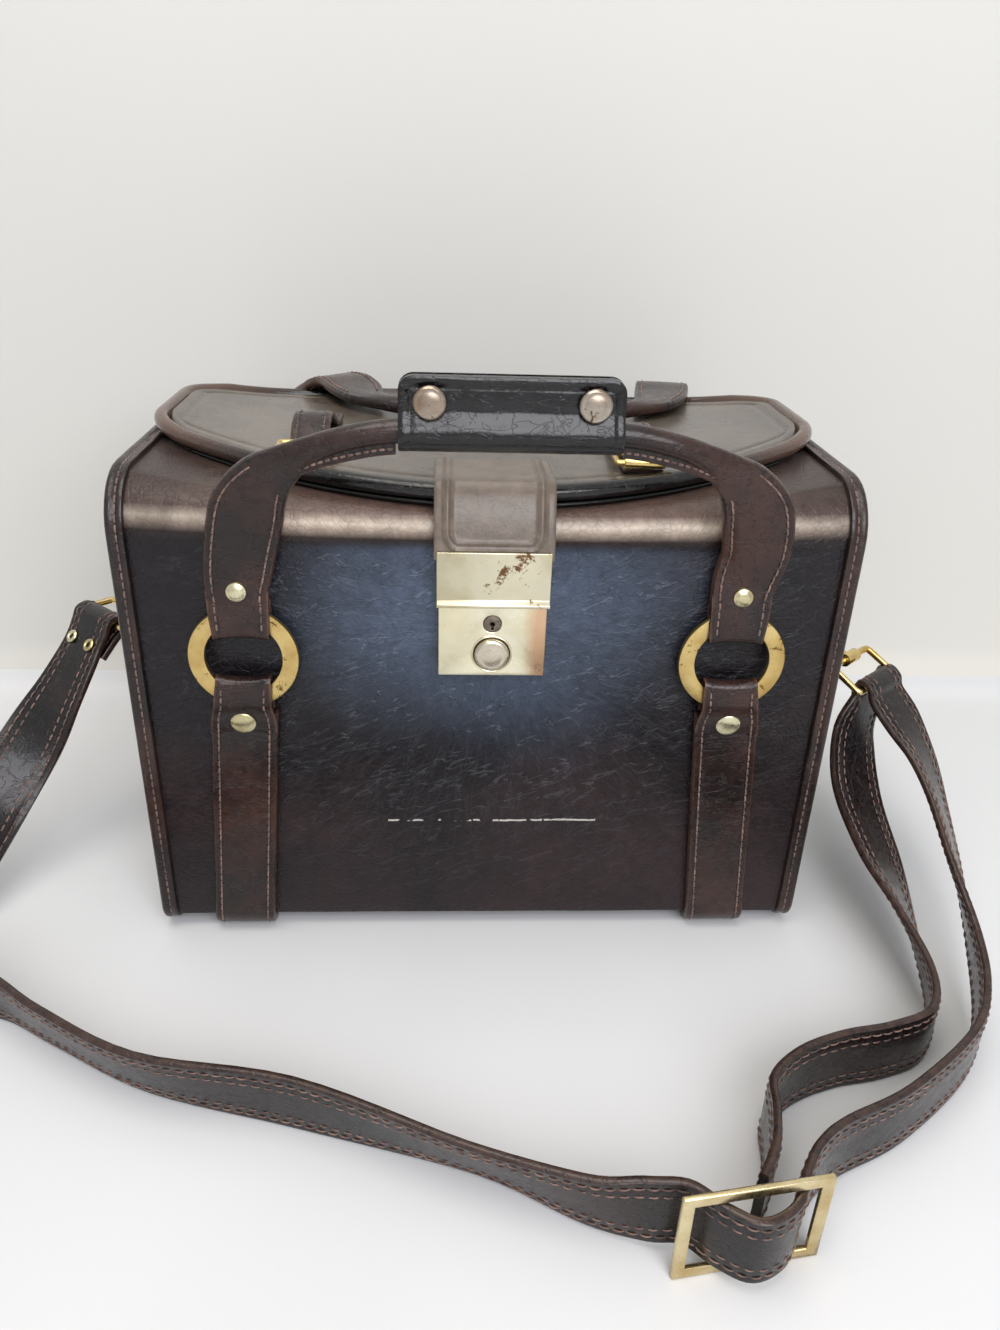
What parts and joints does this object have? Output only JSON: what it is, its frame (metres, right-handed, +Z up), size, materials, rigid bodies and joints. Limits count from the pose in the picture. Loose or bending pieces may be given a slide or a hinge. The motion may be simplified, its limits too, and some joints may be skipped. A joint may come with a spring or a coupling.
{
  "type": "camera case",
  "caption": "Leather-covered camera case with a padded hinged lid, ring-mounted rolled handles, a closure tab with a push-button lock and a shoulder strap on side posts.",
  "frame": {"origin": "centre of the base panel's underside", "axes": "+X to the right as seen from the front, +Y from the lock side to the back, +Z up"},
  "size_m": [0.4468, 0.3412, 0.2447],
  "materials": {
    "covering": "dark brown leathercloth with a soft gloss",
    "edging": "dark brown sewn edging, worn at the corners",
    "trim": "near-black leather lip",
    "strap_leather": "dark reddish brown strap leather, burnished",
    "grip_leather": "near-black soft grip leather",
    "brass": "pale worn brass plating",
    "button_metal": "dull plated metal",
    "spring_steel": "plain spring steel",
    "lining_cloth": "tan lining cloth"
  },
  "bodies": {
    "case": {"base_panel": "covering", "front_panel": "covering", "back_panel": "covering", "left_end_panel": "covering", "right_end_panel": "covering", "left_binding": "edging", "right_binding": "edging", "mouth_trim": "trim", "lining": "lining_cloth", "base_pad": "lining_cloth", "left_divider": "lining_cloth", "right_divider": "lining_cloth", "left_base_strap": "strap_leather", "right_base_strap": "strap_leather", "base_strap_rivets": "brass", "lock_plate": "brass", "lock_case": "brass", "left_side_plate": "brass", "right_side_plate": "brass", "side_rivets": "brass", "hinge_leaf_body": "covering", "button_spring": "spring_steel"},
    "lid": {"lid_panel": "covering", "lid_rim": "edging", "lid_lip": "trim", "lid_lining": "lining_cloth", "hinge_leaf_lid": "covering", "tab_root": "covering", "left_lid_strap": "strap_leather", "right_lid_strap": "strap_leather", "left_buckle_frame": "brass", "right_buckle_frame": "brass"},
    "left_roller": {"left_buckle_roller": "brass"},
    "right_roller": {"right_buckle_roller": "brass"},
    "left_prong": {"left_buckle_prong": "brass"},
    "right_prong": {"right_buckle_prong": "brass"},
    "tab": {"closure_tab": "covering", "hasp_cover": "brass"},
    "button": {"lock_button": "button_metal"},
    "latch": {"lock_latch": "spring_steel"},
    "key_plug": {"key_plug": "brass"},
    "front_handle": {"front_handle": "strap_leather", "front_rings": "brass", "front_strap_loops": "strap_leather", "front_handle_rivets": "brass", "grip_back": "grip_leather"},
    "grip_flap": {"grip_flap": "grip_leather", "snap_caps": "brass"},
    "rear_handle": {"rear_handle": "strap_leather", "rear_rings": "brass", "rear_strap_loops": "strap_leather", "rear_handle_rivets": "brass"},
    "sling": {"left_lug": "brass", "right_lug": "brass", "left_strap_loop": "brass", "right_strap_loop": "brass", "shoulder_strap": "strap_leather", "strap_rivets": "brass", "sling_slider": "brass"}
  },
  "joints": [
    {"name": "lid_open", "type": "hinge", "parent": "case", "child": "lid", "pos_m": [0, 0.0743, 0.1936], "axis": [-1, 0, 0], "range_deg": [0, 95]},
    {"name": "tab_flip", "type": "hinge", "parent": "lid", "child": "tab", "pos_m": [0, -0.0843, 0.1944], "axis": [-1, 0, 0], "range_deg": [0, 60]},
    {"name": "button_push", "type": "slide", "parent": "case", "child": "button", "axis": [0, 1, 0], "range_m": [0, 0.002], "stiffness_N_per_m": 300, "springref_m": -0.001, "deforming": ["button_spring"]},
    {"name": "latch_slide", "type": "slide", "parent": "case", "child": "latch", "axis": [0, 0, -1], "range_m": [0, 0.002]},
    {"name": "key_turn", "type": "hinge", "parent": "case", "child": "key_plug", "pos_m": [0, -0.0901, 0.149], "axis": [0, 1, 0], "range_deg": [0, 90]},
    {"name": "front_handle_swing", "type": "hinge", "parent": "case", "child": "front_handle", "pos_m": [0, -0.09369, 0.1103], "axis": [1, 0, 0], "range_deg": [0, 105]},
    {"name": "grip_open", "type": "hinge", "parent": "front_handle", "child": "grip_flap", "pos_m": [0, -0.109, 0.2157], "axis": [1, 0, 0], "range_deg": [0, 100]},
    {"name": "rear_handle_swing", "type": "hinge", "parent": "case", "child": "rear_handle", "pos_m": [0, 0.09138, 0.1103], "axis": [-1, 0, 0], "range_deg": [0, 90]},
    {"name": "left_roller_turn", "type": "hinge", "parent": "lid", "child": "left_roller", "pos_m": [-0.07, -0.0615, 0.2025], "axis": [1, 0, 0], "continuous": true},
    {"name": "right_roller_turn", "type": "hinge", "parent": "lid", "child": "right_roller", "pos_m": [0.056, -0.0675, 0.20187], "axis": [1, 0, 0], "continuous": true},
    {"name": "left_prong_turn", "type": "hinge", "parent": "lid", "child": "left_prong", "pos_m": [-0.07, -0.0495, 0.2025], "axis": [-1, 0, 0], "range_deg": [0, 60]},
    {"name": "right_prong_turn", "type": "hinge", "parent": "lid", "child": "right_prong", "pos_m": [0.056, -0.0555, 0.20187], "axis": [-1, 0, 0], "range_deg": [0, 60]},
    {"name": "sling_lift", "type": "hinge", "parent": "case", "child": "sling", "pos_m": [0, 0, 0.116], "axis": [-1, 0, 0], "range_deg": [0, 100]}
  ],
  "couplings": [
    {"joint": "rear_handle_swing", "follows": "lid_open", "ratio": 0.9},
    {"joint": "latch_slide", "follows": "button_push", "ratio": 1}
  ]
}
